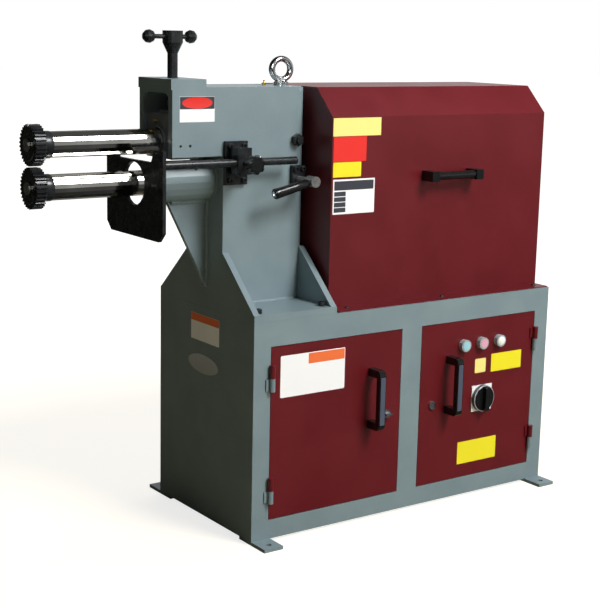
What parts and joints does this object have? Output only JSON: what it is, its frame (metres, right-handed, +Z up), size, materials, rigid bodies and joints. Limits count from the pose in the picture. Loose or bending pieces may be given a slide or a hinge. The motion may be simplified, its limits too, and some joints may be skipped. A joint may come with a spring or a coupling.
{
  "type": "bead roller",
  "caption": "Floor-standing motor-driven bead roller: toothed dies on long geared shafts, screw-adjusted upper shaft, sliding gauge, drive cover and two-door cabinet.",
  "frame": {"origin": "on the floor, at the middle of the whole machine's bounding box", "axes": "+X along the front from the dies to the drive cover, +Y from the front to the back, +Z up"},
  "size_m": [1.3364, 0.525, 1.1377],
  "materials": {
    "grey_green_paint": "hammered enamel",
    "maroon_paint": "semi-gloss enamel",
    "black_steel": "black oxide",
    "bright_steel": "ground",
    "bronze": "turned",
    "chrome": "plated",
    "cast_iron": "machined",
    "black_plastic": "moulded",
    "pale_green_plastic": "translucent cap",
    "pale_red_plastic": "translucent cap",
    "white_lens": "lens",
    "grey_plastic": "moulded",
    "orange_elastomer": "moulded",
    "motor_blue_grey": "enamel"
  },
  "bodies": {
    "machine": {"cabinet": "grey_green_paint", "electrical_panel": "bright_steel", "contactor": "grey_plastic", "transformer": "cast_iron", "frame_weldment": "grey_green_paint", "gear_cover": "maroon_paint", "cover_handle": "black_plastic", "lower_shaft_housing": "grey_green_paint", "lower_front_bush": "bronze", "lower_middle_bush": "bronze", "lower_rear_bush": "bronze", "front_trunnion_stud": "black_steel", "back_trunnion_stud": "black_steel", "eye_bolt": "chrome", "clamp_bracket": "black_steel", "lever_bracket": "black_steel", "gear_reducer": "motor_blue_grey", "motor": "motor_blue_grey", "reducer_stand": "black_steel"},
    "left_door": {"left_door": "maroon_paint", "left_door_handle": "black_plastic"},
    "left_lock": {"left_lock": "chrome"},
    "right_door": {"right_door": "maroon_paint", "right_door_handle": "black_plastic", "start_bezel": "bright_steel", "stop_bezel": "bright_steel", "lamp_bezel": "bright_steel", "indicator_lamp": "white_lens", "start_contact_block": "black_plastic", "stop_contact_block": "black_plastic", "isolator_plate": "bright_steel", "isolator_switch": "black_plastic"},
    "right_lock": {"right_lock": "chrome"},
    "start_button": {"start_button": "pale_green_plastic"},
    "stop_button": {"stop_button": "pale_red_plastic"},
    "isolator": {"isolator_knob": "black_plastic"},
    "bearing_block": {"bearing_block": "cast_iron", "screw_retainer": "cast_iron"},
    "adjusting_screw": {"adjusting_screw": "black_steel"},
    "tommy_bar": {"tommy_bar": "black_steel"},
    "tilt_carrier": {"rear_trunnion_housing": "cast_iron", "rear_trunnion_bush": "bronze", "swivel_bush": "bronze"},
    "upper_shaft": {"upper_shaft": "bright_steel", "upper_gear": "bright_steel", "upper_die": "black_steel", "upper_die_screw": "black_steel"},
    "shift_ring": {"shift_ring": "bronze"},
    "lower_shaft": {"lower_shaft": "bright_steel", "lower_gear": "bright_steel", "lower_die": "black_steel", "lower_die_screw": "black_steel", "driven_hub": "cast_iron"},
    "drive_output": {"drive_hub": "cast_iron", "coupling_spider": "orange_elastomer"},
    "gauge": {"gauge_plate": "black_steel", "guide_rod": "black_steel"},
    "star_knob": {"star_knob": "black_plastic"},
    "lever": {"lever_spindle": "bright_steel", "lever_grip": "black_plastic"}
  },
  "joints": [
    {"name": "left_door_hinge", "type": "hinge", "parent": "machine", "child": "left_door", "pos_m": [-0.1861, -0.2143, 0.052], "axis": [0, 0, -1], "range_deg": [0, 170]},
    {"name": "right_door_hinge", "type": "hinge", "parent": "machine", "child": "right_door", "pos_m": [0.6224, -0.2143, 0.052], "axis": [0, 0, 1], "range_deg": [0, 170]},
    {"name": "left_lock_turn", "type": "hinge", "parent": "left_door", "child": "left_lock", "pos_m": [0.14715, -0.2075, 0.2535], "axis": [0, -1, 0], "range_deg": [0, 90]},
    {"name": "right_lock_turn", "type": "hinge", "parent": "right_door", "child": "right_lock", "pos_m": [0.28915, -0.2075, 0.2535], "axis": [0, 1, 0], "range_deg": [0, 90]},
    {"name": "start_press", "type": "slide", "parent": "right_door", "child": "start_button", "axis": [0, 1, 0], "range_m": [0, 0.004], "stiffness_N_per_m": 600, "springref_m": -0.001},
    {"name": "stop_press", "type": "slide", "parent": "right_door", "child": "stop_button", "axis": [0, 1, 0], "range_m": [0, 0.004], "stiffness_N_per_m": 600, "springref_m": -0.001},
    {"name": "isolator_turn", "type": "hinge", "parent": "right_door", "child": "isolator", "pos_m": [0.45015, -0.2075, 0.251], "axis": [0, 1, 0], "range_deg": [0, 90]},
    {"name": "screw_turn", "type": "hinge", "parent": "bearing_block", "child": "adjusting_screw", "pos_m": [-0.31985, 0, 0.957], "axis": [0, 0, 1], "range_deg": [0, 1800]},
    {"name": "block_lift", "type": "slide", "parent": "machine", "child": "bearing_block", "axis": [0, 0, 1], "range_m": [0, 0.015]},
    {"name": "tommy_bar_slide", "type": "slide", "parent": "adjusting_screw", "child": "tommy_bar", "axis": [1, 0, 0], "range_m": [-0.0072, 0.0212]},
    {"name": "upper_tilt", "type": "hinge", "parent": "machine", "child": "tilt_carrier", "pos_m": [-0.03685, 0, 0.897], "axis": [0, 1, 0], "range_deg": [0, 3.04]},
    {"name": "upper_spin", "type": "hinge", "parent": "tilt_carrier", "child": "upper_shaft", "pos_m": [-0.03685, 0, 0.897], "axis": [1, 0, 0], "continuous": true},
    {"name": "shaft_shift", "type": "slide", "parent": "machine", "child": "shift_ring", "axis": [1, 0, 0], "range_m": [-0.002, 0.002]},
    {"name": "lower_spin", "type": "hinge", "parent": "shift_ring", "child": "lower_shaft", "pos_m": [-0.03385, 0, 0.807], "axis": [1, 0, 0], "continuous": true},
    {"name": "drive_spin", "type": "hinge", "parent": "machine", "child": "drive_output", "pos_m": [0.06845, 0, 0.807], "axis": [1, 0, 0], "continuous": true},
    {"name": "gauge_slide", "type": "slide", "parent": "machine", "child": "gauge", "axis": [1, 0, 0], "range_m": [-0.12, 0.064]},
    {"name": "star_knob_turn", "type": "hinge", "parent": "machine", "child": "star_knob", "pos_m": [-0.20635, -0.1105, 0.854], "axis": [0, -1, 0], "range_deg": [0, 360]},
    {"name": "lever_turn", "type": "hinge", "parent": "machine", "child": "lever", "pos_m": [-0.03385, -0.073, 0.807], "axis": [0, 1, 0], "range_deg": [-45, 45]}
  ],
  "couplings": [
    {"joint": "block_lift", "follows": "screw_turn", "m_per_rad": 0.00047746},
    {"joint": "upper_tilt", "follows": "screw_turn", "ratio": 0.0016871},
    {"joint": "upper_spin", "follows": "lower_spin", "ratio": -1},
    {"joint": "drive_spin", "follows": "lower_spin", "ratio": 1},
    {"joint": "shaft_shift", "follows": "lever_turn", "m_per_rad": 0.0025}
  ]
}
